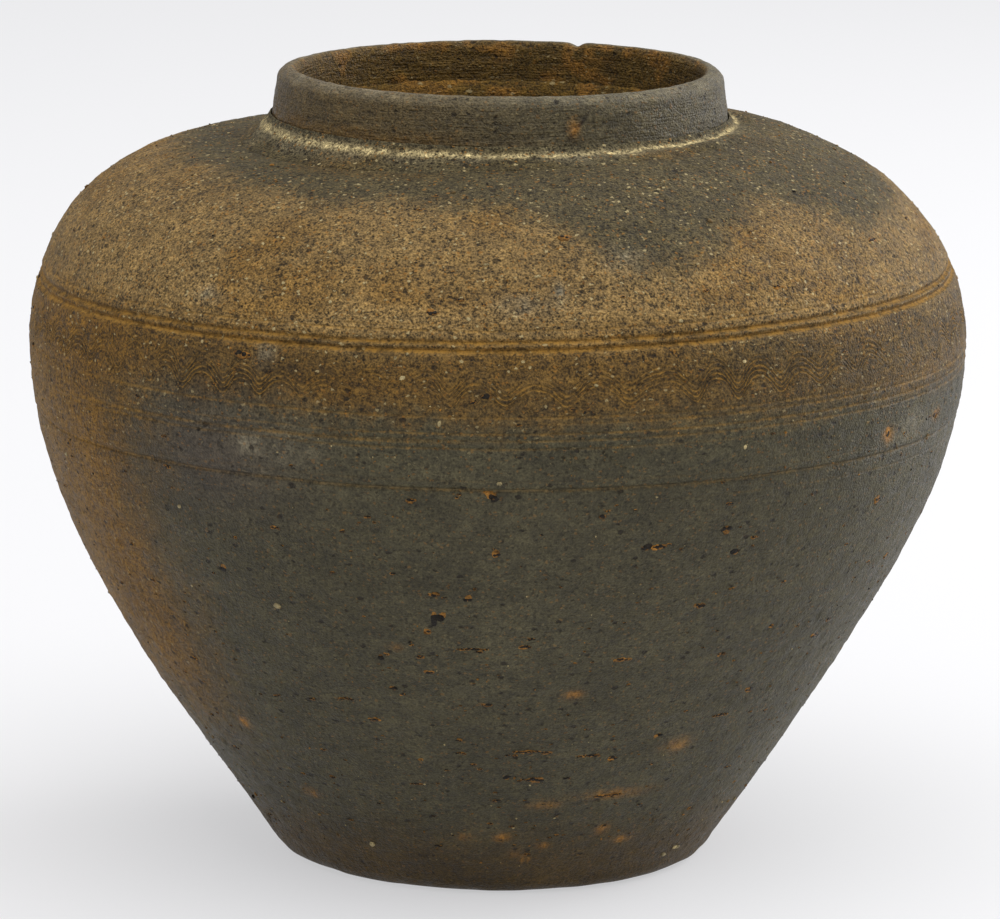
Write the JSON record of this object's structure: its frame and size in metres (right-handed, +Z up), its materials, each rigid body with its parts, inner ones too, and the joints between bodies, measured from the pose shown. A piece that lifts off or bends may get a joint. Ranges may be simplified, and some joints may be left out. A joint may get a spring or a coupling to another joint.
{
  "type": "pottery jar",
  "caption": "Unglazed stoneware storage jar with a broad domed shoulder, tapering lower body, flat base and a short upright collar with a thick lip; stands open to hold food, grain or liquid.",
  "frame": {"origin": "centre of the underside of the flat base, on the ground", "axes": "+Z up along the axis on which the jar was turned; -Y faces the picture's camera and +X is to its right"},
  "size_m": [0.28, 0.28, 0.2366],
  "materials": {
    "base_clay": "unglazed stoneware, fired grey-brown, gritty",
    "lower_clay": "unglazed stoneware, fired dark grey-green, with drag marks and pits",
    "band_clay": "unglazed stoneware, fired brown, with combed waves",
    "shoulder_clay": "unglazed stoneware, fired ochre-brown and speckled",
    "collar_clay": "unglazed stoneware, fired dark grey, wheel-striated",
    "pale_slip": "pale dusty slip, matt",
    "inner_clay": "unglazed stoneware, rough and brown inside"
  },
  "bodies": {
    "root": {"base_disc": "base_clay", "base_fillet": "inner_clay", "lower_wall": "lower_clay", "girth_band": "band_clay", "shoulder": "shoulder_clay", "neck_collar": "collar_clay", "neck_fillet": "pale_slip", "inner_neck_fillet": "inner_clay"}
  },
  "joints": []
}
